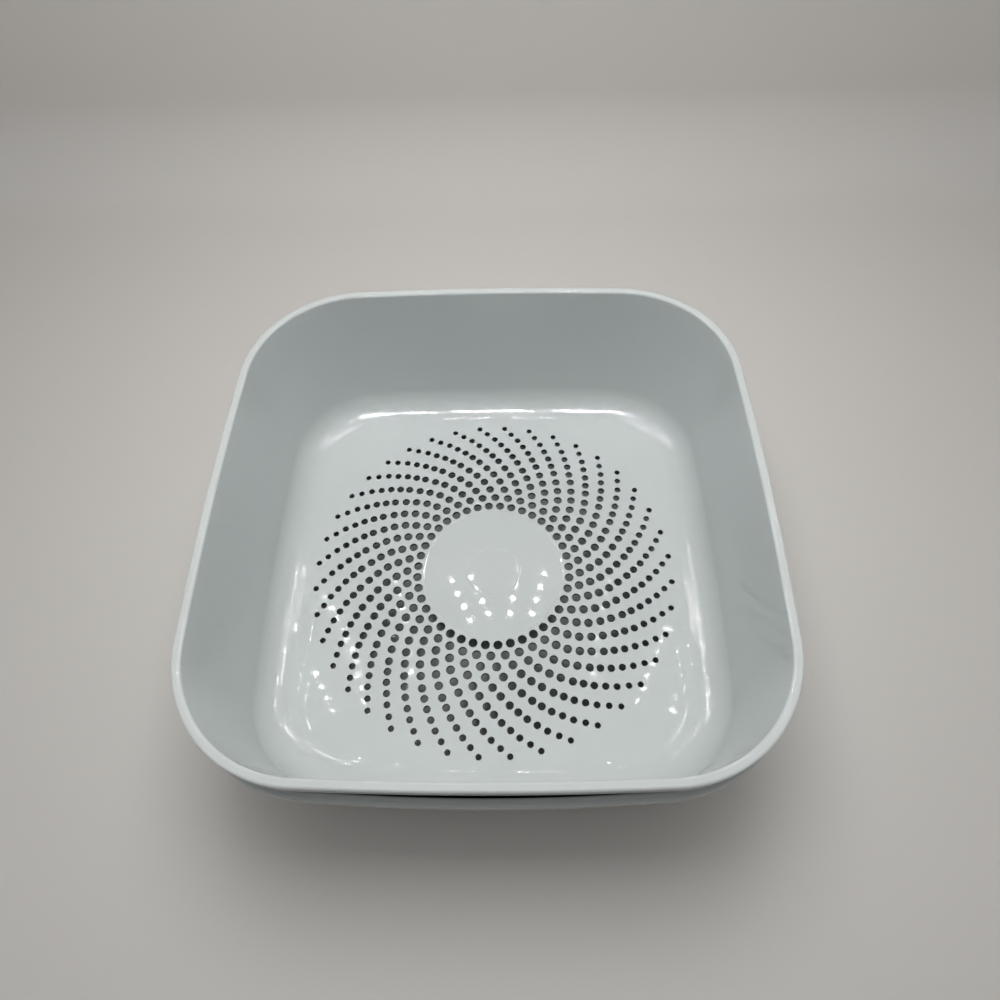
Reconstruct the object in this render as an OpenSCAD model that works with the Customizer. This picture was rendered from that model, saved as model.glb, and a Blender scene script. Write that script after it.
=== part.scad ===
// Double-layer colander: a square strainer basket with soft corners that stands in an outer bowl.
// Both are single mouldings, made by carrying one wall profile round a rounded square.
// Millimetres. The origin is at the middle of the bowl's foot, with +Z up.

/* [Basket shell] */
// Width between opposite sides at the inner edge of the basket's rim
rim_opening = 228; // [220:0.5:236]
// Corner radius at the inner edge of the rim
corner_r = 53.1; // [48:0.1:58]
// Depth from the rim down to the perforated floor
basket_depth = 83.8; // [76:0.2:92]
// Thickness of the basket's wall and floor
basket_wall = 2; // [1.6:0.1:2.4]
// Lean of the basket's wall away from upright, in degrees
basket_draft = 3.2; // [2.8:0.1:3.6]
// Inside radius between the basket's wall and floor
basket_fillet = 15.5; // [13:0.5:16]
// Width across the top of the basket's rim
basket_rim_w = 3.7; // [3.4:0.1:4.6]
// Height of the thickened rim
basket_rim_h = 5.5; // [4:0.5:6.5]
// Rounding of both rims' edges
rim_round = 1.2; // [0.7:0.1:1.4]

/* [Perforated floor] */
// Number of spiral arms of holes
arm_count = 40; // [24:1:42]
// Radius of the outermost ring of holes
outer_ring_r = 92; // [88:0.5:92.5]
// Angle that an arm turns through from its first hole to its last, in degrees
arm_twist = 37.4; // [20:0.1:50]
// Angle of the first hole of the first arm, in degrees
arm_start = 3.9; // [0:0.1:9]
// Diameter of the holes next to the plain disc
inner_hole_d = 4.3; // [3.4:0.05:4.5]
// Diameter of the outermost holes
outer_hole_d = 2.7; // [2:0.05:3]
// Least width of flat floor left outside the outermost holes
hole_edge = 1; // [0.5:0.1:1.2]
// Radius of the plain disc in the middle
disc_r = 36.2; // [34:0.1:36.4]
// Depth of the plain disc below the floor
disc_depth = 0.25; // [0.1:0.05:0.4]
// Radius of the round gate mark in the disc
gate_r = 13.5; // [10:0.5:16]
// Depth of the gate mark below the disc
gate_depth = 0.2; // [0.1:0.05:0.3]

/* [Basket feet] */
// Height of the corner ribs that the basket stands on
rib_h = 8; // [6:0.5:12]
// Thickness of those ribs
rib_t = 2.2; // [1.8:0.1:3]

/* [Outer bowl] */
// Gap between the basket's wall and the inner edge of the bowl's rim, at the middle of a side
bowl_gap = 2.5; // [2:0.1:3.2]
// The same gap at a corner, where the bowl's plan is rounder than the basket's
corner_gap = 0.7; // [0.5:0.1:1.2]
// Height of the basket's rim above the bowl's rim
rim_step = 17; // [12:0.5:20]
// Thickness of the bowl's wall and floor
bowl_wall = 2; // [1.6:0.1:2.6]
// Lean of the bowl's wall away from upright, in degrees
bowl_draft = 5; // [4:0.1:5.4]
// Inside radius between the bowl's wall and floor
bowl_fillet = 22; // [19:0.5:24]
// Width across the top of the bowl's rim
bowl_rim_w = 3.4; // [3.2:0.1:4.6]
// Height of the thickened rim
bowl_rim_h = 5.5; // [4:0.5:7]
// Height of the ring that the bowl stands on
foot_h = 2.8; // [2:0.1:4]
// Width of that ring
foot_w = 3.5; // [2.5:0.1:5]

/* [Hidden] */
$fn = 96;

// Radius of each ring of holes as a share of the outermost, from the middle out
ring_radius_share = [0.428, 0.487, 0.546, 0.602, 0.654, 0.701, 0.751, 0.792, 0.834, 0.875, 0.917, 0.958, 1];
// Turn of each hole along its arm, as a share of the arm's whole twist
ring_turn_share = [0, 0.110, 0.201, 0.286, 0.382, 0.474, 0.563, 0.638, 0.709, 0.784, 0.854, 0.930, 1];
// How late along an arm its holes shrink: 1 would be evenly
hole_taper_share = 1.6;
// How far a corner rib keeps inside the flat floor's edge, as a share of the fillet
rib_inset_share = 0.52;
// Share of a corner's quarter turn that a rib covers
rib_turn_share = 0.75;
// Worked-out plan sizes are rounded to this many steps in a millimetre, so that sides and corners meet exactly
plan_steps = 100;

// Levels of the two mouldings
bowl_z = foot_h + bowl_wall;
basket_z = bowl_z + rib_h + basket_wall;
bowl_depth = rib_h + basket_wall + basket_depth - rim_step;

// Both plans are rounded squares, given by half their width and their corner radius.
// The basket's is taken at the inner edge of its rim, and the bowl's at the inner edge of its own.
half_w = rim_opening / 2;
wall_out = basket_wall / cos(basket_draft) - rim_step * tan(basket_draft);
wall_reach = (half_w - corner_r) * sqrt(2) + corner_r + wall_out;
bowl_half = half_w + wall_out + bowl_gap;
basket_plan = [half_w, corner_r];
bowl_plan = [on_step(bowl_half), on_step((bowl_half * sqrt(2) - wall_reach - corner_gap) / (sqrt(2) - 1))];

// Edges of the two flat floors, measured outward from those plans
basket_flat = on_step(flat_edge(basket_depth, basket_draft, basket_fillet));
bowl_flat = on_step(flat_edge(bowl_depth, bowl_draft, bowl_fillet));

// The outermost ring of holes keeps to the flat floor
ring_r = min(outer_ring_r, half_w + basket_flat - outer_hole_d / 2 - hole_edge);

// Rounds a worked-out size
function on_step(size) = round(size * plan_steps) / plan_steps;

// Where a shell's flat floor ends, measured outward from the inner edge of its rim
function flat_edge(depth, draft, fillet) = -(depth - fillet) * tan(draft) - fillet / cos(draft);

// Carries a profile round a plan: the profile's x is its distance outside it
module around_square(plan) {
  centre = plan[0] - plan[1];
  for (quarter = [0:3])
    rotate(quarter * 90) {
      translate([plan[0], centre, 0])
        rotate([90, 0, 0])
          linear_extrude(2 * centre) children();
      around_corner(plan, 1) children();
    }
}

// Carries a profile round one corner, over a share of its quarter turn
module around_corner(plan, turn_share) {
  centre = plan[0] - plan[1];
  turn = 90 * turn_share;
  translate([centre, centre, 0])
    rotate(45 - turn / 2)
      rotate_extrude(angle = turn)
        translate([plan[1], 0]) children();
}

// The area inside a plan, moved outward by a distance
module square_area(plan, out) {
  centre = plan[0] - plan[1];
  square([2 * (plan[0] + out), 2 * centre], center = true);
  square([2 * centre, 2 * (plan[0] + out)], center = true);
  for (x = [-1, 1], y = [-1, 1])
    translate([x * centre, y * centre]) circle(r = plan[1] + out);
}

// A rectangle with its four corners rounded
module rounded_bar(w, h, r) {
  translate([r, 0]) square([w - 2 * r, h]);
  translate([0, r]) square([w, h - 2 * r]);
  for (x = [r, w - r], y = [r, h - r])
    translate([x, y]) circle(r = r);
}

// Section of a shell: leaning wall, fillet, a strip of the floor, and the thickened rim.
// Its x runs outward from the rim's inner edge and its y up from the top of the floor.
module shell_profile(depth, wall, draft, fillet, rim_w, rim_h) {
  centre = [flat_edge(depth, draft, fillet), fillet];
  start = centre[0] - wall;
  across = [cos(draft), -sin(draft)];
  top = [-rim_round * tan(draft), depth - rim_round];
  difference() {
    union() {
      translate(centre) circle(r = fillet + wall);
      polygon([
        [start, -wall], [centre[0], -wall], centre,
        centre + (fillet + wall) * across, top + wall * across, [start, top[1]]
      ]);
    }
    translate(centre) circle(r = fillet);
    polygon([
      [start - wall, 0], [centre[0], 0], centre,
      centre + fillet * across, top, top + [0, wall], [start - wall, depth]
    ]);
    translate([start - 2 * fillet, -2 * wall]) square([2 * fillet, depth]);
  }
  translate([0, depth - rim_h]) rounded_bar(rim_w, rim_h, rim_round);
}

// The plain disc in the middle of the floor is sunk a little, and the gate mark in it once more
module disc_recess() {
  translate([0, 0, -disc_depth]) cylinder(r = disc_r, h = basket_wall);
  translate([0, 0, -disc_depth - gate_depth]) cylinder(r = gate_r, h = basket_wall);
}

// The drain holes, on spiral arms
module hole_pattern() {
  last = len(ring_radius_share) - 1;
  for (arm = [0:arm_count - 1], ring = [0:last]) {
    taper = pow(ring / last, hole_taper_share);
    rotate(arm_start + arm * 360 / arm_count + arm_twist * ring_turn_share[ring])
      translate([ring_r * ring_radius_share[ring], 0])
        circle(d = inner_hole_d - (inner_hole_d - outer_hole_d) * taper, $fn = 24);
  }
}

// Ribs under the corners of the basket's floor
module basket_ribs() {
  for (quarter = [0:3])
    rotate(quarter * 90)
      around_corner(basket_plan, rib_turn_share)
        translate([basket_flat - basket_fillet * rib_inset_share, -basket_wall - rib_h])
          square([rib_t, rib_h + basket_wall / 2]);
}

module strainer_basket() {
  color("#E3EBEA")
    translate([0, 0, basket_z]) {
      around_square(basket_plan)
        shell_profile(basket_depth, basket_wall, basket_draft, basket_fillet, basket_rim_w, basket_rim_h);
      difference() {
        translate([0, 0, -basket_wall])
          linear_extrude(basket_wall)
            difference() {
              square_area(basket_plan, basket_flat);
              hole_pattern();
            }
        disc_recess();
      }
      basket_ribs();
    }
}

module outer_bowl() {
  color("#DDE5E4")
    translate([0, 0, bowl_z]) {
      around_square(bowl_plan)
        shell_profile(bowl_depth, bowl_wall, bowl_draft, bowl_fillet, bowl_rim_w, bowl_rim_h);
      translate([0, 0, -bowl_wall])
        linear_extrude(bowl_wall) square_area(bowl_plan, bowl_flat);
      translate([0, 0, -bowl_z])
        linear_extrude(foot_h + bowl_wall / 2)
          difference() {
            square_area(bowl_plan, bowl_flat);
            square_area(bowl_plan, bowl_flat - foot_w);
          }
    }
}

strainer_basket();
outer_bowl();
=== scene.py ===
"""Looks of a double-layer colander: a square strainer basket with soft corners, standing in an outer bowl."""

import logging
import math
from collections.abc import Callable, Iterable, Sequence
from dataclasses import dataclass, field
from enum import Enum

import bpy
import numpy as np
from mathutils import Matrix, Vector
from mathutils.geometry import delaunay_2d_cdt

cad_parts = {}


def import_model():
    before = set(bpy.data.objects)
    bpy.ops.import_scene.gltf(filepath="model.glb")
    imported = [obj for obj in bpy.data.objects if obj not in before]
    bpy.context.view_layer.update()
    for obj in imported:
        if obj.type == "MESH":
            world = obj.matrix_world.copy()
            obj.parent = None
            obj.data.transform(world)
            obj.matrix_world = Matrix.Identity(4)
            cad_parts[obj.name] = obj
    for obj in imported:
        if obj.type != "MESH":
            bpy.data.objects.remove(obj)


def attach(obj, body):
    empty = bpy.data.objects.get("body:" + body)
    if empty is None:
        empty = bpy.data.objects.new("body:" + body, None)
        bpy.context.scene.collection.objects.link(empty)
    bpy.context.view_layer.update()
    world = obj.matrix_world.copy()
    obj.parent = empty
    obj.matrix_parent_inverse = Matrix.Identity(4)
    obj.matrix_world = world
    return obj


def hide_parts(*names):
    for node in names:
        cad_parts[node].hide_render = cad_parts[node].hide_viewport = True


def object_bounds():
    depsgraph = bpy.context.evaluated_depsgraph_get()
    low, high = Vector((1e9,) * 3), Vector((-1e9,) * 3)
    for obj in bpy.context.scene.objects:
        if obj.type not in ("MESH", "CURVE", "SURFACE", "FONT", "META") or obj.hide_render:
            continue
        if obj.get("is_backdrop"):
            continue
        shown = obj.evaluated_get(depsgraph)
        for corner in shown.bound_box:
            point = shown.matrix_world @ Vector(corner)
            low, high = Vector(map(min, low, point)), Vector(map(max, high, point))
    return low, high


# Metres in a millimetre
MM = 0.001
# Places of the Mix node's colour sockets, whose names its other sockets share
MIX_A, MIX_B, MIX_RESULT = 6, 7, 2
log = logging.getLogger("colander")


class Body(Enum):
    """The two mouldings that move apart."""

    BOWL = "bowl"
    BASKET = "basket"


class Node(Enum):
    """The solids that the two mouldings stand for."""

    BOWL = "outer_bowl"
    BASKET = "strainer_basket"


class Slot(Enum):
    """The record's finish of each moulding."""

    BOWL = "bowl_plastic"
    BASKET = "basket_plastic"


def linear(hex_colour: str) -> tuple[float, float, float, float]:
    """Turns an sRGB hex colour into the linear values that the shaders take.

    Args:
        hex_colour: Six hex digits after a hash sign.

    Returns:
        Linear red, green and blue, with an alpha of 1.
    """
    parts = [int(hex_colour[i : i + 2], 16) / 255 for i in (1, 3, 5)]
    red, green, blue = (p / 12.92 if p <= 0.04045 else ((p + 0.055) / 1.055) ** 2.4 for p in parts)
    return red, green, blue, 1.0


def add_node(
    tree: bpy.types.NodeTree, kind: str, settings: dict | None = None, **links: object
) -> bpy.types.Node:
    """Adds a shader node with its settings and links.

    Args:
        tree: Node tree to add to.
        kind: Blender's name of the node type.
        settings: Properties of the node itself.
        **links: Socket values by name, with spaces as underscores. A socket is linked, anything else is set.

    Returns:
        The new node.
    """
    node = tree.nodes.new(kind)
    for name, value in (settings or {}).items():
        setattr(node, name, value)
    for name, value in links.items():
        socket = node.inputs[name.replace("_", " ")]
        if isinstance(value, bpy.types.NodeSocket):
            tree.links.new(value, socket)
        else:
            socket.default_value = value
    return node


@dataclass(frozen=True)
class MouldedPolypropylene:
    """Glossy white polypropylene, injection-moulded in a polished tool, with its lengths in millimetres.

    The eye gets a cool white body, crisp reflections on the floor and softer ones on the walls, and
    highlights that break up where the skin sank as it cooled. The drain holes get painted shade, drawn
    darker than the plastic round them.
    """

    name: str
    colour: str = "#CBD0CF"
    shade_colour: str = "#C6CCCB"
    # Colour of the painted shade in the drain holes
    painted_hole_shade: str = "#4A504F"
    roughness: float = 0.04
    wall_roughness: float = 0.09
    wall_levels: tuple[float, float] = (25.0, 60.0)
    ior: float = 1.49
    # The ripples and the peel are drawn coarser than real ones, which don't show at about 0.5 mm a pixel
    ripple_length: float = 3.5
    ripple_depth: float = 0.009
    ripple_detail: float = 1.0
    ripple_radii: tuple[float, float] = (34.0, 60.0)
    calm_share: float = 0.03
    peel_length: float = 2.2
    peel_depth: float = 0.004
    peel_detail: float = 2.0
    cloud_length: float = 60.0
    cloud_detail: float = 2.0

    def build(self) -> bpy.types.Material:
        """Makes the material.

        Returns:
            The new material.
        """
        material = bpy.data.materials.new(self.name)
        material.use_nodes = True
        tree = material.node_tree
        tree.nodes.clear()
        place = add_node(tree, "ShaderNodeTexCoord").outputs["Object"]
        shader = add_node(
            tree, "ShaderNodeBsdfPrincipled", Base_Color=self.body_colour(tree, place),
            Roughness=self.polish(tree, place), IOR=self.ior, Normal=self.skin(tree, place),
        )
        add_node(tree, "ShaderNodeOutputMaterial", Surface=shader.outputs["BSDF"])
        return material

    def body_colour(self, tree: bpy.types.NodeTree, place: bpy.types.NodeSocket) -> bpy.types.NodeSocket:
        """Adds the faintly clouded body colour, with painted shade where the mesh's mark for it is above 0.

        Args:
            tree: Node tree to add to.
            place: Socket with the object's coordinates in metres.

        Returns:
            The colour.
        """
        clouds = add_node(
            tree, "ShaderNodeTexNoise", Vector=place, Scale=1 / (self.cloud_length * MM),
            Detail=self.cloud_detail,
        )
        mix = add_node(tree, "ShaderNodeMix", {"data_type": "RGBA"}, Factor=clouds.outputs["Fac"])
        mix.inputs[MIX_A].default_value = linear(self.colour)
        mix.inputs[MIX_B].default_value = linear(self.shade_colour)
        # Painted shade, darkest in the drain holes, laid over the body colour where the mesh marks it
        painted_shade = add_node(tree, "ShaderNodeAttribute", {"attribute_name": "painted_shade"}).outputs["Fac"]
        painted_shade_mix = add_node(tree, "ShaderNodeMix", {"data_type": "RGBA"}, Factor=painted_shade)
        tree.links.new(mix.outputs[MIX_RESULT], painted_shade_mix.inputs[MIX_A])
        painted_shade_mix.inputs[MIX_B].default_value = linear(self.painted_hole_shade)
        return painted_shade_mix.outputs[MIX_RESULT]

    def polish(self, tree: bpy.types.NodeTree, place: bpy.types.NodeSocket) -> bpy.types.NodeSocket:
        """Adds the roughness, which rises from the floor to the walls.

        Args:
            tree: Node tree to add to.
            place: Socket with the object's coordinates in metres.

        Returns:
            The roughness.
        """
        height = add_node(tree, "ShaderNodeSeparateXYZ", Vector=place).outputs["Z"]
        low, high = self.wall_levels
        rough = add_node(
            tree, "ShaderNodeMapRange", {"interpolation_type": "SMOOTHSTEP"}, Value=height, From_Min=low * MM,
            From_Max=high * MM, To_Min=self.roughness, To_Max=self.wall_roughness,
        )
        return rough.outputs["Result"]

    def skin(self, tree: bpy.types.NodeTree, place: bpy.types.NodeSocket) -> bpy.types.NodeSocket:
        """Adds the ripples and the finer peel, both of which stay calm on the plain disc.

        Args:
            tree: Node tree to add to.
            place: Socket with the object's coordinates in metres.

        Returns:
            The bumped normal.
        """
        flat = add_node(tree, "ShaderNodeVectorMath", {"operation": "MULTIPLY"})
        tree.links.new(place, flat.inputs[0])
        flat.inputs[1].default_value = (1.0, 1.0, 0.0)
        radius = add_node(
            tree, "ShaderNodeVectorMath", {"operation": "LENGTH"}, Vector=flat.outputs["Vector"]
        )
        near, far = self.ripple_radii
        strength = add_node(
            tree, "ShaderNodeMapRange", {"interpolation_type": "SMOOTHSTEP"}, Value=radius.outputs["Value"],
            From_Min=near * MM, From_Max=far * MM, To_Min=self.calm_share, To_Max=1.0,
        )
        ripples = add_node(
            tree, "ShaderNodeTexNoise", Vector=place, Scale=1 / (self.ripple_length * MM),
            Detail=self.ripple_detail,
        )
        rippled = add_node(
            tree, "ShaderNodeBump", Height=ripples.outputs["Fac"], Distance=self.ripple_depth * MM,
            Strength=strength.outputs["Result"],
        )
        peel = add_node(
            tree, "ShaderNodeTexNoise", Vector=place, Scale=1 / (self.peel_length * MM),
            Detail=self.peel_detail,
        )
        peeled = add_node(
            tree, "ShaderNodeBump", Height=peel.outputs["Fac"], Distance=self.peel_depth * MM,
            Strength=strength.outputs["Result"], Normal=rippled.outputs["Normal"],
        )
        return peeled.outputs["Normal"]


@dataclass(frozen=True)
class MattCard:
    """Matt card that the object stands on, a warm light grey that keeps the object's shadow."""

    name: str = "matt_card"
    colour: str = "#D1CECA"
    roughness: float = 0.9
    specular: float = 0.2

    def build(self) -> bpy.types.Material:
        """Makes the material.

        Returns:
            The new material.
        """
        material = bpy.data.materials.new(self.name)
        material.use_nodes = True
        shader = material.node_tree.nodes["Principled BSDF"]
        shader.inputs["Base Color"].default_value = linear(self.colour)
        shader.inputs["Roughness"].default_value = self.roughness
        shader.inputs["Specular IOR Level"].default_value = self.specular
        return material


class Draft:
    """A mesh in the making: points with their normals, and faces."""

    def __init__(self) -> None:
        """Starts an empty draft."""
        self.points: list[np.ndarray] = []
        self.normals: list[np.ndarray] = []
        self.painted_shade: list[np.ndarray] = []
        self.faces: list[Sequence[int]] = []
        self.count = 0

    def add(self, points: np.ndarray, normals: np.ndarray, painted_shade: float = 0.0) -> np.ndarray:
        """Adds points.

        Args:
            points: Rows of x, y and z in metres.
            normals: One row for each point.
            painted_shade: How much painted shade the points get, from 0 on the open skin to 1 in a drain
                hole.

        Returns:
            The new points' numbers, in the shape of the input without its last axis.
        """
        shape = points.shape[:-1]
        self.points.append(points.reshape(-1, 3))
        self.normals.append(normals.reshape(-1, 3))
        first = self.count
        self.count += int(np.prod(shape))
        self.painted_shade.append(np.full(self.count - first, painted_shade))
        return np.arange(first, self.count).reshape(shape)

    def grid(self, numbers: np.ndarray, closed: bool, flip: bool = False) -> None:
        """Joins rows of points with four-sided faces.

        Args:
            numbers: Point numbers, one row for each loop.
            closed: Whether each row's end joins its start.
            flip: Turns the faces round.
        """
        ahead = np.roll(numbers, -1, axis=1)
        last = numbers.shape[1] if closed else numbers.shape[1] - 1
        quads = np.stack([numbers[:-1], ahead[:-1], ahead[1:], numbers[1:]], axis=-1)[:, :last].reshape(-1, 4)
        self.faces.extend((quads[:, ::-1] if flip else quads).tolist())

    def build(self, name: str, material: bpy.types.Material) -> bpy.types.Object:
        """Makes the object.

        Args:
            name: Name of the object.
            material: Its material.

        Returns:
            The new object, smooth, with the draft's own normals.
        """
        mesh = bpy.data.meshes.new(name)
        mesh.from_pydata(np.concatenate(self.points).tolist(), [], self.faces)
        mesh.update()
        mesh.shade_smooth()
        normals = np.concatenate(self.normals)
        normals /= np.linalg.norm(normals, axis=1, keepdims=True)
        mesh.normals_split_custom_set_from_vertices(normals.tolist())
        # Each point's share of painted shade
        painted_shade = mesh.attributes.new("painted_shade", "FLOAT", "POINT")
        painted_shade.data.foreach_set("value", np.concatenate(self.painted_shade))
        mesh.materials.append(material)
        piece = bpy.data.objects.new(name, mesh)
        bpy.context.scene.collection.objects.link(piece)
        return piece


@dataclass(frozen=True)
class SoftSquare:
    """Plan that a shell follows, in millimetres: four gently bowed sides that run into round corners."""

    half_width: float
    corner_reach: float
    side_radius: float
    corner_steps: int = 24
    side_steps: int = 12

    @property
    def corner_centre(self) -> float:
        """Distance of a corner's centre from the middle, along each axis."""
        offset = self.side_radius - self.half_width
        rest = self.side_radius - self.corner_reach
        return (rest**2 - offset**2) / (2 * (offset - math.sqrt(2) * rest))

    @property
    def corner_radius(self) -> float:
        """Radius of a corner."""
        return self.corner_reach - math.sqrt(2) * self.corner_centre

    def stations(self) -> tuple[np.ndarray, np.ndarray]:
        """Walks once round the plan.

        Returns:
            Places and outward directions, one row each.
        """
        centre, offset = self.corner_centre, self.side_radius - self.half_width
        turn = math.atan2(centre, centre + offset)
        side = np.linspace(-turn, turn, self.side_steps + 1)
        corner = np.linspace(turn, math.pi / 2 - turn, self.corner_steps + 1)[1:-1]
        angles = np.concatenate([side, corner])
        out = np.stack([np.cos(angles), np.sin(angles)], axis=-1)
        on_side = np.arange(len(angles))[:, None] <= self.side_steps
        place = np.where(on_side, [-offset, 0.0] + self.side_radius * out, centre + self.corner_radius * out)
        quarters = [quarter_turn(quarter) for quarter in range(4)]
        return np.concatenate([place @ q for q in quarters]), np.concatenate([out @ q for q in quarters])

    def outward(self, flat: np.ndarray) -> tuple[np.ndarray, np.ndarray]:
        """Measures places from the plan.

        Args:
            flat: Rows of x and y.

        Returns:
            Distances outside the plan, and outward directions.
        """
        centre, offset = self.corner_centre, self.side_radius - self.half_width
        turned = np.abs(flat[:, 1]) > np.abs(flat[:, 0])
        local = np.abs(np.where(turned[:, None], flat[:, ::-1], flat))
        on_side = local[:, 1] * (centre + offset) <= centre * (local[:, 0] + offset)
        arm = np.where(on_side[:, None], local + [offset, 0.0], local - centre)
        length = np.linalg.norm(arm, axis=1)
        out = arm / length[:, None]
        out = np.where(turned[:, None], out[:, ::-1], out) * np.where(flat < 0, -1.0, 1.0)
        return length - np.where(on_side, self.side_radius, self.corner_radius), out


def quarter_turn(quarters: int) -> np.ndarray:
    """Matrix that turns rows of x and y by a number of quarter turns."""
    turn = quarters * math.pi / 2
    return np.array([[math.cos(turn), math.sin(turn)], [-math.sin(turn), math.cos(turn)]])


@dataclass
class Outline:
    """A section's outline: places and normals in the plane of outward distance and height."""

    rows: list[tuple[float, float, float, float]] = field(default_factory=list)

    def arc(
        self, centre: Sequence[float], radius: float, start: float, end: float, steps: int, hollow: bool
    ) -> None:
        """Adds an arc.

        Args:
            centre: Outward distance and height of the arc's centre.
            radius: Its radius.
            start: First angle in degrees.
            end: Last angle in degrees.
            steps: Number of pieces.
            hollow: Whether the skin faces the arc's centre.
        """
        side = -1.0 if hollow else 1.0
        for i in range(steps + 1):
            angle = math.radians(start + (end - start) * i / steps)
            out, up = math.cos(angle), math.sin(angle)
            self.rows.append((centre[0] + radius * out, centre[1] + radius * up, side * out, side * up))

    def bridge(self, steps: int) -> Callable[[], None]:
        """Leaves room for a straight run, whose points are added once its end is known.

        Args:
            steps: Number of pieces that the run is cut in.

        Returns:
            A function that fills the run in.
        """
        at = len(self.rows)

        def fill() -> None:
            """Adds the points between the run's two ends."""
            before, after = np.array(self.rows[at - 1]), np.array(self.rows[at])
            for i in range(1, steps):
                self.rows.insert(at + i - 1, tuple(before + (after - before) * i / steps))

        return fill


@dataclass(frozen=True)
class ShellSection:
    """Section of a shell: fillet, leaning wall and thickened rim, in millimetres."""

    depth: float
    wall: float
    draft: float
    fillet: float
    rim_width: float
    rim_height: float
    rim_round: float = 1.2
    under_round: float = 0.8
    seam_round: float = 0.6
    foot_height: float = 0.0
    foot_width: float = 0.0
    foot_round: float = 0.5
    ease_radius: float = 0.0
    ease_turn: float = 6.0
    fillet_steps: int = 14
    rim_steps: int = 6
    wall_steps: int = 5
    edge_steps: int = 4
    foot_seam_steps: int = 3
    ease_steps: int = 2

    @property
    def flat_edge(self) -> float:
        """Where the flat floor ends, measured outward from the rim's inner edge."""
        lean = math.radians(self.draft)
        return -(self.depth - self.fillet) * math.tan(lean) - self.fillet / math.cos(lean)

    @property
    def ease_start(self) -> float:
        """Where the floor starts to rise towards the fillet, measured outward from the rim's inner edge."""
        slope = math.radians(self.ease_turn)
        return self.fillet_centre[0] - (self.ease_radius - self.fillet) * math.sin(slope)

    @property
    def fillet_centre(self) -> tuple[float, float]:
        """Centre of the inside fillet, which sits a little higher where the floor's edge is eased."""
        if not self.ease_radius:
            return self.flat_edge, self.fillet
        lift = (self.ease_radius - self.fillet) * (1 - math.cos(math.radians(self.ease_turn)))
        return self.flat_edge + lift * math.tan(math.radians(self.draft)), self.fillet + lift

    def rise(self, out: np.ndarray) -> tuple[np.ndarray, np.ndarray]:
        """Height of the eased edge above the flat floor.

        Args:
            out: Distances measured outward from the rim's inner edge, on the floor.

        Returns:
            Heights and slopes.
        """
        if not self.ease_radius:
            return np.zeros_like(out), np.zeros_like(out)
        run = np.maximum(out - self.ease_start, 0)
        rest = np.sqrt(self.ease_radius**2 - run**2)
        return self.ease_radius - rest, run / rest

    def outline(self) -> np.ndarray:
        """Draws the section from the floor's top edge over the rim to the floor's underside.

        Returns:
            Rows of outward distance, height, and the normal's two parts.
        """
        lean = math.radians(self.draft)
        tan, cos = math.tan(lean), math.cos(lean)
        line = Outline()
        centre = (self.flat_edge, self.fillet)
        turn = 0.0
        if self.ease_radius:
            turn = self.ease_turn
            start = math.degrees(math.asin((self.flat_edge - self.ease_start) / self.ease_radius))
            middle = (self.ease_start, self.ease_radius)
            line.arc(middle, self.ease_radius, start - 90, turn - 90, self.ease_steps, hollow=True)
            line.rows.pop()
        line.arc(self.fillet_centre, self.fillet, turn - 90, -self.draft, self.fillet_steps, hollow=True)
        inner_wall = line.bridge(self.wall_steps)
        lip = (self.rim_round / cos - self.rim_round * tan, self.depth - self.rim_round)
        line.arc(lip, self.rim_round, 180 - self.draft, 90, self.rim_steps, hollow=False)
        edge = (self.rim_width - self.rim_round, self.depth - self.rim_round)
        line.arc(edge, self.rim_round, 90, 0, self.rim_steps, hollow=False)
        under = self.depth - self.rim_height
        below = (self.rim_width - self.under_round, under + self.under_round)
        line.arc(below, self.under_round, 0, -90, self.edge_steps, hollow=False)
        seam_z = under - self.seam_round
        seam_x = self.wall / cos - (self.depth - seam_z) * tan + self.seam_round / cos
        line.arc((seam_x, seam_z), self.seam_round, 90, 180 - self.draft, self.edge_steps, hollow=True)
        outer_wall = line.bridge(self.wall_steps)
        line.arc(centre, self.fillet + self.wall, -self.draft, -90, self.fillet_steps, hollow=False)
        if self.foot_height:
            self.add_foot(line)
        outer_wall()
        inner_wall()
        return np.array(line.rows)

    def add_foot(self, line: Outline) -> None:
        """Adds the ring that the shell stands on.

        Args:
            line: Outline that has come to the floor's underside.
        """
        low = -self.wall - self.foot_height
        r = self.foot_round
        out, inside = self.flat_edge, self.flat_edge - self.foot_width
        line.rows.pop()
        line.arc((out + r, -self.wall - r), r, 90, 180, self.foot_seam_steps, hollow=True)
        line.arc((out - r, low + r), r, 0, -90, self.edge_steps, hollow=False)
        line.arc((inside + r, low + r), r, 270, 180, self.edge_steps, hollow=False)
        line.arc((inside - r, -self.wall - r), r, 0, 90, self.foot_seam_steps, hollow=True)


@dataclass
class Moulding:
    """One moulded shell on its rounded square, in millimetres."""

    name: str
    body: Body
    node: Node
    slot: Slot
    square: SoftSquare
    section: ShellSection
    floor_z: float
    finish: MouldedPolypropylene
    draft: Draft = field(default_factory=Draft)

    def sweep(self) -> tuple[np.ndarray, np.ndarray]:
        """Carries the section round the square.

        Returns:
            Numbers of the points round the floor's top and round its underside.
        """
        places, outward = self.square.stations()
        rows = self.section.outline()
        flat = places[None] + rows[:, 0, None, None] * outward[None]
        height = np.broadcast_to(rows[:, 1, None, None] + self.floor_z, (*flat.shape[:2], 1))
        normals = np.concatenate(
            [rows[:, 2, None, None] * outward[None], np.broadcast_to(rows[:, 3, None, None], height.shape)],
            axis=-1,
        )
        numbers = self.draft.add(np.concatenate([flat, height], axis=-1) * MM, normals)
        self.draft.grid(numbers, closed=True, flip=True)
        return numbers[0], numbers[-1]

    def finish_piece(self) -> bpy.types.Object:
        """Makes the object and hands it to its body.

        Returns:
            The finished piece.
        """
        piece = self.draft.build(self.name, self.finish.build())
        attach(piece, self.body.value)
        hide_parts(self.node.value)
        log.info("%s: %d points", self.name, len(piece.data.vertices))
        return piece


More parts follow.
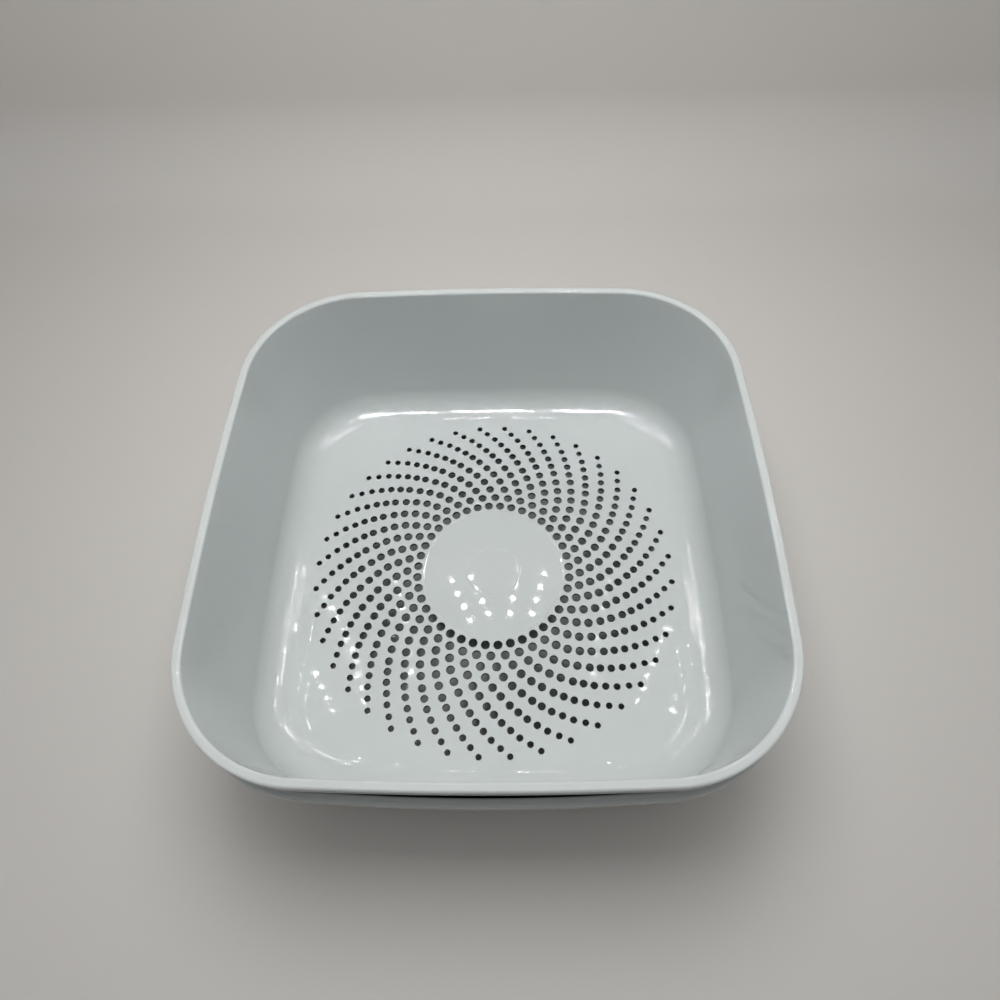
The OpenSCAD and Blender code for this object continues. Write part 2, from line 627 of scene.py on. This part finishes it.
@dataclass
class OuterBowl(Moulding):
    """Outer bowl, with its plain floor and foot ring. The floor's middle has painted shade, drawn darker at
    every pose.
    """

    shaded_share: float = 0.88
    # How much painted shade the floor's middle gets
    floor_shade: float = 0.45

    def build(self) -> bpy.types.Object:
        """Makes the bowl.

        Returns:
            The finished piece.
        """
        top, under = self.sweep()
        places, outward = self.square.stations()
        flat = self.shaded_share * (places + self.section.flat_edge * outward)
        middle = np.concatenate([flat, np.full((len(flat), 1), self.floor_z)], axis=-1) * MM
        # The floor's middle gets painted shade, which fades in from the floor's edge
        inner = self.draft.add(middle, np.broadcast_to([0.0, 0.0, 1.0], middle.shape), self.floor_shade)
        self.draft.grid(np.array([top, inner]), closed=True)
        self.draft.faces.append(inner.tolist())
        self.draft.faces.append(under[::-1].tolist())
        return self.finish_piece()


@dataclass(frozen=True)
class DrainFloor:
    """The perforated floor's relief and its spiral of holes, in millimetres."""

    arm_count: int = 40
    outer_ring: float = 92.0
    arm_twist: float = 37.4
    arm_start: float = 3.9
    inner_hole: float = 4.3
    outer_hole: float = 2.7
    taper: float = 1.6
    ring_radius_share: tuple[float, ...] = (
        0.428, 0.487, 0.546, 0.602, 0.654, 0.701, 0.751, 0.792, 0.834, 0.875, 0.917, 0.958, 1.0,
    )
    ring_turn_share: tuple[float, ...] = (
        0.0, 0.110, 0.201, 0.286, 0.382, 0.474, 0.563, 0.638, 0.709, 0.784, 0.854, 0.930, 1.0,
    )
    dome_height: float = 1.2
    dome_reach: float = 88.0
    disc_radius: float = 36.0
    disc_depth: float = 0.25
    disc_slope: float = 1.0
    gate_radius: float = 13.5
    gate_depth: float = 0.2
    gate_slope: float = 1.4
    lip: float = 0.3
    # Share of the painted shade that a hole's rounded lips get
    lip_painted_shade: float = 0.3
    hole_sides: int = 22
    disc_sides: int = 120
    step_rings: int = 9
    disc_rings: int = 6
    ring_margin: float = 3.0
    gate_ring_radii: tuple[float, ...] = (10.0, 7.0, 4.0, 1.5)

    def height(self, radius: np.ndarray, plain: bool = False) -> np.ndarray:
        """Height of the floor above its flat edge.

        Args:
            radius: Distances from the middle.
            plain: Leaves out the disc and the gate mark, as on the underside.

        Returns:
            Heights.
        """
        share = np.clip(radius / self.dome_reach, 0, 1)
        dome = self.dome_height * (1 - share**2) ** 2
        if plain:
            return dome
        disc = self.disc_depth * self.step(radius, self.disc_radius, self.disc_slope)
        gate = self.gate_depth * self.step(radius, self.gate_radius, self.gate_slope)
        return dome - disc - gate

    @staticmethod
    def step(radius: np.ndarray, edge: float, width: float) -> np.ndarray:
        """A soft step from 1 inside an edge to 0 outside it."""
        share = np.clip((edge + width / 2 - radius) / width, 0, 1)
        return share * share * (3 - 2 * share)

    def skin(self, flat: np.ndarray, under: float | None = None) -> tuple[np.ndarray, np.ndarray]:
        """Lifts places to the floor's top, or to its underside.

        Args:
            flat: Rows of x and y.
            under: Thickness of the floor, for the underside.

        Returns:
            Points and normals.
        """
        plain = under is not None
        radius = np.linalg.norm(flat, axis=-1)
        tiny = 0.01
        slope = (self.height(radius + tiny, plain) - self.height(radius - tiny, plain)) / (2 * tiny)
        out = flat / np.maximum(radius, tiny)[..., None]
        z = self.height(radius, plain) - (under or 0.0)
        normals = np.concatenate([-slope[..., None] * out, np.ones_like(z)[..., None]], axis=-1)
        return np.concatenate([flat, z[..., None]], axis=-1), -normals if plain else normals

    def holes(self) -> list[tuple[np.ndarray, float]]:
        """Lays out the drain holes.

        Returns:
            Centre and radius of each hole.
        """
        found = []
        last = len(self.ring_radius_share) - 1
        for arm in range(self.arm_count):
            for ring, (radius, turn) in enumerate(zip(self.ring_radius_share, self.ring_turn_share)):
                angle = math.radians(self.arm_start + arm * 360 / self.arm_count + self.arm_twist * turn)
                centre = self.outer_ring * radius * np.array([math.cos(angle), math.sin(angle)])
                shrink = (ring / last) ** self.taper
                found.append((centre, (self.inner_hole - (self.inner_hole - self.outer_hole) * shrink) / 2))
        return found


def circle(sides: int) -> np.ndarray:
    """Directions evenly round a circle, one row each."""
    angles = np.arange(sides) * 2 * math.pi / sides
    return np.stack([np.cos(angles), np.sin(angles)], axis=-1)


@dataclass
class StrainerBasket(Moulding):
    """The basket, with its perforated floor and the ribs under its corners."""

    drain: DrainFloor = field(default_factory=DrainFloor)
    rib_height: float = 8.0
    rib_width: float = 2.2
    rib_turn: float = 67.5
    rib_inset: float = 8.06
    rib_round: float = 0.5
    rib_steps: int = 16
    edge_insets: tuple[float, ...] = (1.7, 3.4, 5.1, 6.8, 10.0)
    hole_clearance: float = 0.8

    def build(self) -> bpy.types.Object:
        """Makes the basket.

        Returns:
            The finished piece.
        """
        top, under = self.sweep()
        self.perforated_floor(top, under)
        for quarter in range(4):
            self.corner_rib(quarter)
        return self.finish_piece()

    def on_floor(self, points: np.ndarray, normals: np.ndarray, painted_shade: float = 0.0) -> np.ndarray:
        """Adds points that are measured from the floor's flat edge, and returns their numbers."""
        return self.draft.add((points + [0, 0, self.floor_z]) * MM, normals, painted_shade)

    def top_skin(self, flat: np.ndarray) -> tuple[np.ndarray, np.ndarray]:
        """Lifts places to the floor's top, with its eased edge.

        Args:
            flat: Rows of x and y.

        Returns:
            Points and normals.
        """
        points, normals = self.drain.skin(flat)
        distance, out = self.square.outward(flat)
        rise, slope = self.section.rise(distance)
        points[:, 2] += rise
        normals[:, :2] -= slope[:, None] * out
        return points, normals

    def perforated_floor(self, top: np.ndarray, under: np.ndarray) -> None:
        """Fills the floor between the two edges of the sweep.

        Args:
            top: Points round the floor's top.
            under: Points round its underside.
        """
        drain = self.drain
        thick = self.section.wall
        places, outward = self.square.stations()
        edge = places + self.section.flat_edge * outward
        disc = circle(drain.disc_sides) * (drain.disc_radius + drain.disc_slope / 2)
        turns = circle(drain.hole_sides)
        holes = drain.holes()
        loops = [edge, disc] + [centre + (radius + drain.lip) * turns for centre, radius in holes]
        loose = self.edge_points(places, outward, holes)
        triangles = self.triangulate(loops, loose)
        upper, lower = [top], [under]
        for loop in [*loops[1:], loose]:
            upper.append(self.on_floor(*self.top_skin(loop)))
            lower.append(self.on_floor(*drain.skin(loop, thick)))
        upper_numbers, lower_numbers = np.concatenate(upper), np.concatenate(lower)
        self.draft.faces.extend(upper_numbers[triangles].tolist())
        self.draft.faces.extend(lower_numbers[triangles][:, ::-1].tolist())
        for (centre, radius), high, low in zip(holes, upper[2:-1], lower[2:-1]):
            self.hole_wall(centre, radius, high, low)
        self.plain_disc(upper[1], lower[1])

    def edge_points(
        self, places: np.ndarray, outward: np.ndarray, holes: list[tuple[np.ndarray, float]]
    ) -> np.ndarray:
        """Lays points on the eased edge of the floor, clear of the holes.

        Args:
            places: Places round the plan.
            outward: Their outward directions.
            holes: Centre and radius of each hole.

        Returns:
            Rows of x and y.
        """
        flat_edge = self.section.flat_edge
        rows = np.concatenate([places + (flat_edge - inset) * outward for inset in self.edge_insets])
        centres = np.array([centre for centre, _ in holes])
        reach = np.array([radius for _, radius in holes]) + self.drain.lip + self.hole_clearance
        gaps = np.linalg.norm(rows[:, None] - centres[None], axis=2) - reach[None]
        return rows[gaps.min(axis=1) > 0]

    @staticmethod
    def triangulate(loops: Iterable[np.ndarray], loose: np.ndarray) -> np.ndarray:
        """Fills the area inside the first loop and outside all others.

        Args:
            loops: Convex loops of places.
            loose: Further places in that area.

        Returns:
            Triangles as rows of point numbers, counted through the loops in order.
        """
        points, edges, owner = [], [], []
        for which, loop in enumerate(loops):
            first = len(points)
            points.extend(Vector(p) for p in loop.tolist())
            edges.extend((first + i, first + (i + 1) % len(loop)) for i in range(len(loop)))
            owner.extend([which] * len(loop))
        points.extend(Vector(p) for p in loose.tolist())
        owner.extend([0] * len(loose))
        whole_area, join_within = 0, 1e-7
        _, _, faces, originals, _, _ = delaunay_2d_cdt(points, edges, [], whole_area, join_within, True)
        number = np.array([group[0] for group in originals])
        owner_of = np.array(owner)
        found = number[np.array(faces)]
        kept = found[[len(set(owner_of[f])) > 1 or owner_of[f][0] == 0 for f in found]]
        place = np.array(points)
        a, b, c = (place[kept[:, i]] for i in range(3))
        turn = (b - a)[:, 0] * (c - a)[:, 1] - (b - a)[:, 1] * (c - a)[:, 0]
        return np.where(turn[:, None] > 0, kept, kept[:, ::-1])

    def hole_wall(self, centre: np.ndarray, radius: float, high: np.ndarray, low: np.ndarray) -> None:
        """Lines one hole, with a small rounded lip at each end.

        Args:
            centre: Middle of the hole.
            radius: Its radius.
            high: Points of the lip on the floor's top.
            low: Points of the lip on its underside.
        """
        lip = self.drain.lip
        turns = circle(self.drain.hole_sides)
        diagonal = math.sqrt(0.5)
        rings = [high]
        for on_lip, below in ((True, False), (False, False), (False, True), (True, True)):
            spread = lip * (1 - diagonal) if on_lip else 0.0
            drop = lip * (1 - diagonal) if on_lip else lip
            flat = centre + (radius + spread) * turns
            points, _ = self.drain.skin(flat, self.section.wall) if below else self.top_skin(flat)
            points[:, 2] += drop if below else -drop
            lean = diagonal if on_lip else 0.0
            side = -turns * (diagonal if on_lip else 1)
            normals = np.concatenate([side, np.full((len(turns), 1), -lean if below else lean)], axis=-1)
            # Painted shade: full on a hole's wall, a lighter share on its lips
            rings.append(self.on_floor(points, normals, painted_shade=self.drain.lip_painted_shade if on_lip else 1.0))
        rings.append(low)
        self.draft.grid(np.array(rings), closed=True)

    def plain_disc(self, high: np.ndarray, low: np.ndarray) -> None:
        """Fills the plain disc on the floor's top and underside.

        Args:
            high: Points of the disc's edge on the top.
            low: Points of its edge on the underside.
        """
        drain = self.drain
        turns = circle(drain.disc_sides)
        disc, disc_half = drain.disc_radius, drain.disc_slope / 2
        gate, gate_half = drain.gate_radius, drain.gate_slope / 2
        radii = [
            *np.linspace(disc + disc_half, disc - disc_half, drain.step_rings)[1:],
            *np.linspace(disc - drain.ring_margin, gate + drain.ring_margin, drain.disc_rings),
            *np.linspace(gate + gate_half, gate - gate_half, drain.step_rings),
            *drain.gate_ring_radii,
        ]
        for edge, thick in ((high, None), (low, self.section.wall)):
            rings = [edge] + [self.on_floor(*drain.skin(r * turns, thick)) for r in radii]
            self.draft.grid(np.array(rings), closed=True, flip=thick is not None)
            middle = rings[-1] if thick is None else rings[-1][::-1]
            self.draft.faces.append(middle.tolist())

    def corner_rib(self, quarter: int) -> None:
        """Adds the rib under one corner of the floor, its top sunk a little into the floor.

        Args:
            quarter: Which corner, counted round the square.
        """
        spin = quarter_turn(quarter)
        centre = np.array([self.square.corner_centre] * 2)
        inner = self.square.corner_radius + self.section.flat_edge - self.rib_inset
        low = -self.section.wall - self.rib_height
        high = -self.section.wall / 2
        r = self.rib_round
        rib = Outline()
        rib.arc((inner + r, low + r), r, 180, 270, self.section.edge_steps, hollow=False)
        rib.arc((inner + self.rib_width - r, low + r), r, 270, 360, self.section.edge_steps, hollow=False)
        rows = np.array([(inner, high, -1.0, 0.0), *rib.rows, (inner + self.rib_width, high, 1.0, 0.0)])
        stations = np.arange(self.rib_steps + 1)
        angles = np.radians(45 - self.rib_turn / 2 + self.rib_turn * stations / self.rib_steps)
        out = np.stack([np.cos(angles), np.sin(angles)], axis=-1)
        flat = (centre + rows[:, 0, None, None] * out[None]) @ spin
        height = np.broadcast_to(rows[:, 1, None, None], (*flat.shape[:2], 1))
        sideways = rows[:, 2, None, None] * (out @ spin)[None]
        normals = np.concatenate([sideways, np.broadcast_to(rows[:, 3, None, None], height.shape)], axis=-1)
        numbers = self.on_floor(np.concatenate([flat, height], axis=-1), normals)
        self.draft.grid(numbers, closed=False)
        self.draft.faces.append(numbers[:, 0].tolist())
        self.draft.faces.append(numbers[::-1, -1].tolist())
        self.draft.grid(numbers[[-1, 0]], closed=False)


@dataclass(frozen=True)
class PhoneCamera:
    """The photograph's camera, in millimetres of the part's frame, fitted to the drain holes and the rim."""

    place: tuple[float, float, float] = (12.2, -151.5, 349.4)
    right: tuple[float, float, float] = (0.9997, 0.0035, -0.0243)
    up: tuple[float, float, float] = (0.0092, 0.8640, 0.5034)
    focal_length: float = 25.28
    sensor_width: float = 36.0
    clip_start: float = 10.0

    def build(self) -> bpy.types.Object:
        """Makes the camera.

        Returns:
            The scene's camera.
        """
        data = bpy.data.cameras.new("camera")
        data.lens = self.focal_length
        data.sensor_width = self.sensor_width
        data.clip_start = self.clip_start * MM
        camera = bpy.data.objects.new("camera", data)
        right = Vector(self.right).normalized()
        back = right.cross(Vector(self.up)).normalized()
        up = back.cross(right)
        turn = Matrix((right, up, back)).transposed().to_4x4()
        camera.matrix_world = Matrix.Translation(Vector(self.place) * MM) @ turn
        bpy.context.scene.collection.objects.link(camera)
        bpy.context.scene.camera = camera
        return camera


@dataclass(frozen=True)
class LampStrip:
    """Strip of small bright lamps, which the plastic mirrors as a row of dots, in millimetres and watts."""

    start: tuple[float, float]
    step: tuple[float, float]
    count: int
    height: float = 475.0
    lamp_width: float = 4.6
    power: float = 0.0105
    aim: tuple[float, float, float] = (0.0, 0.0, -1.0)
    spread: float = 180.0

    def build(self, number: int) -> None:
        """Hangs the strip's lamps.

        Args:
            number: The strip's number, for its lamps' names.
        """
        data = bpy.data.lights.new(f"lamp_strip_{number}", "AREA")
        data.shape = "DISK"
        data.size = self.lamp_width * MM
        data.energy = self.power
        data.spread = math.radians(self.spread)
        for i in range(self.count):
            lamp = bpy.data.objects.new(f"lamp_{number}_{i}", data)
            x, y = (s + i * d for s, d in zip(self.start, self.step))
            lamp.location = Vector((x, y, self.height)) * MM
            lamp.rotation_euler = Vector(self.aim).to_track_quat("-Z", "Y").to_euler()
            lamp.visible_diffuse = False
            lamp.visible_camera = False
            bpy.context.scene.collection.objects.link(lamp)


@dataclass(frozen=True)
class MarkStrip(LampStrip):
    """Strip of the smallest and faintest lamps, for the short marks among the drain holes."""

    lamp_width: float = 3.0
    power: float = 0.0016


@dataclass(frozen=True)
class FilletStrip(LampStrip):
    """Strip of lamps for the broken lines along the fillet."""

    lamp_width: float = 5.0
    power: float = 0.045


@dataclass(frozen=True)
class SoftLight:
    """One soft square light, turned towards the object, in millimetres and watts."""

    name: str
    place: tuple[float, float, float]
    width: float
    power: float

    def build(self) -> None:
        """Hangs the light."""
        data = bpy.data.lights.new(self.name, "AREA")
        data.shape = "SQUARE"
        data.size = self.width * MM
        data.energy = self.power
        lamp = bpy.data.objects.new(self.name, data)
        place = Vector(self.place) * MM
        lamp.location = place
        lamp.rotation_euler = place.to_track_quat("Z", "Y").to_euler()
        lamp.visible_camera = False
        lamp.visible_glossy = False
        bpy.context.scene.collection.objects.link(lamp)


@dataclass(frozen=True)
class Studio:
    """Card sweep, soft lights above and beyond the card's ends, and strips of small lamps, in millimetres."""

    sweep_width: float = 3000.0
    sweep_front: float = -1500.0
    fold_at: float = 300.0
    fold_radius: float = 60.0
    fold_steps: int = 16
    sweep_height: float = 1200.0
    world_colour: str = "#FFFFFF"
    world_strength: float = 0.17
    background_strength: float = 0.42
    soft_lights: tuple[SoftLight, ...] = (
        SoftLight("high_light", (0.0, 0.0, 900.0), 800.0, 1.75),
        SoftLight("near_light", (0.0, 60.0, 520.0), 260.0, 1.4),
        SoftLight("left_light", (-2400.0, 0.0, 60.0), 200.0, 12.0),
        SoftLight("right_light", (2400.0, 0.0, 60.0), 200.0, 12.0),
    )
    strips: tuple[LampStrip, ...] = (
        # The dots on the plain disc
        LampStrip((-49.0, 130.3), (-10.0, 21.3), 4),
        LampStrip((-22.5, 140.0), (-9.5, 20.0), 4),
        LampStrip((9.0, 141.0), (4.0, 23.0), 4),
        LampStrip((40.5, 140.5), (6.5, 21.5), 4),
        # Marks on the left of the perforated floor, and then on its right
        MarkStrip((-120.0, 70.0), (-6.0, 21.0), 7),
        MarkStrip((-160.0, 50.0), (-7.0, 14.0), 12),
        MarkStrip((-196.0, 40.0), (-8.0, 14.0), 12),
        MarkStrip((108.0, 70.0), (6.0, 21.0), 7),
        MarkStrip((146.0, 50.0), (7.0, 14.0), 12),
        MarkStrip((184.0, 40.0), (8.0, 14.0), 12),
        # The back fillet's row is turned to the back, which keeps the front rims plain
        FilletStrip((-200.0, -90.0), (12.0, 0.0), 35, power=0.012, aim=(0.0, 0.42, -1.0), spread=50.0),
        # Two rows on each side, left and right in turn
        FilletStrip((-258.0, 0.0), (0.0, 15.0), 20),
        FilletStrip((226.0, 0.0), (0.0, 15.0), 20),
        FilletStrip((-400.0, 0.0), (0.0, 20.0), 15, power=0.06),
        FilletStrip((420.0, 0.0), (0.0, 20.0), 15, power=0.06),
    )

    def build(self) -> None:
        """Makes the card sweep and the lights."""
        self.card_sweep()
        for light in self.soft_lights:
            light.build()
        for number, strip in enumerate(self.strips):
            strip.build(number)
        self.world()

    def card_sweep(self) -> None:
        """Makes the floor that folds up into a backdrop."""
        line = [(self.sweep_front, 0.0)]
        for i in range(self.fold_steps + 1):
            angle = math.pi / 2 * i / self.fold_steps
            back = self.fold_at + self.fold_radius * math.sin(angle)
            line.append((back, self.fold_radius * (1 - math.cos(angle))))
        line.append((self.fold_at + self.fold_radius, self.sweep_height))
        half = self.sweep_width / 2
        points = [(x * MM, y * MM, z * MM) for y, z in line for x in (-half, half)]
        faces = [(2 * i, 2 * i + 1, 2 * i + 3, 2 * i + 2) for i in range(len(line) - 1)]
        mesh = bpy.data.meshes.new("card_sweep")
        mesh.from_pydata(points, [], faces)
        mesh.shade_smooth()
        mesh.materials.append(MattCard().build())
        card = bpy.data.objects.new("card_sweep", mesh)
        bpy.context.scene.collection.objects.link(card)
        card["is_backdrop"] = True

    def world(self) -> None:
        """Lights the object evenly from all round, and looks paler itself than the light that it gives."""
        world = bpy.data.worlds.new("world")
        world.use_nodes = True
        tree = world.node_tree
        path = add_node(tree, "ShaderNodeLightPath")
        seen = add_node(tree, "ShaderNodeMath", {"operation": "MAXIMUM"}, Value=path.outputs["Is Camera Ray"])
        tree.links.new(path.outputs["Is Glossy Ray"], seen.inputs[1])
        strength = add_node(
            tree, "ShaderNodeMapRange", Value=seen.outputs["Value"],
            To_Min=self.world_strength, To_Max=self.background_strength,
        )
        background = tree.nodes["Background"]
        background.inputs["Color"].default_value = linear(self.world_colour)
        tree.links.new(strength.outputs["Result"], background.inputs["Strength"])
        bpy.context.scene.world = world


def main(cad_box: tuple[Vector, Vector]) -> None:
    """Builds the colander and its studio.

    Args:
        cad_box: Lowest and highest corner of the CAD model. Not used.
    """
    logging.basicConfig(level=logging.INFO, format="%(name)s: %(message)s")
    PhoneCamera().build()
    wall = 2.0
    foot = 2.8
    rib = 8.0
    basket_depth = 83.8
    rim_height = 5.5
    rim_step = 17.0
    bowl_floor = foot + wall
    basket_floor = bowl_floor + rib + wall
    bowl_depth = basket_floor + basket_depth - rim_step - bowl_floor
    basket_plan = SoftSquare(half_width=114.6, corner_reach=139.5, side_radius=1528.0)
    bowl_plan = SoftSquare(half_width=117.55, corner_reach=141.1, side_radius=852.0)
    StrainerBasket(
        "strainer_basket_moulding", Body.BASKET, Node.BASKET, Slot.BASKET, basket_plan,
        ShellSection(
            basket_depth, wall, draft=3.2, fillet=15.5, rim_width=3.7, rim_height=rim_height, ease_radius=80.0
        ),
        basket_floor, MouldedPolypropylene("basket_polypropylene"), rib_height=rib,
    ).build()
    OuterBowl(
        "outer_bowl_moulding", Body.BOWL, Node.BOWL, Slot.BOWL, bowl_plan,
        ShellSection(
            bowl_depth, wall, draft=5.0, fillet=22.0, rim_width=3.4, rim_height=rim_height,
            foot_height=foot, foot_width=3.5,
        ),
        bowl_floor, MouldedPolypropylene("bowl_polypropylene", colour="#BCC1C0", shade_colour="#B8BDBC"),
    ).build()
    Studio().build()
    bpy.context.scene.view_settings.view_transform = "Standard"


if __name__ == "__main__":
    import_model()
    main(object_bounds())
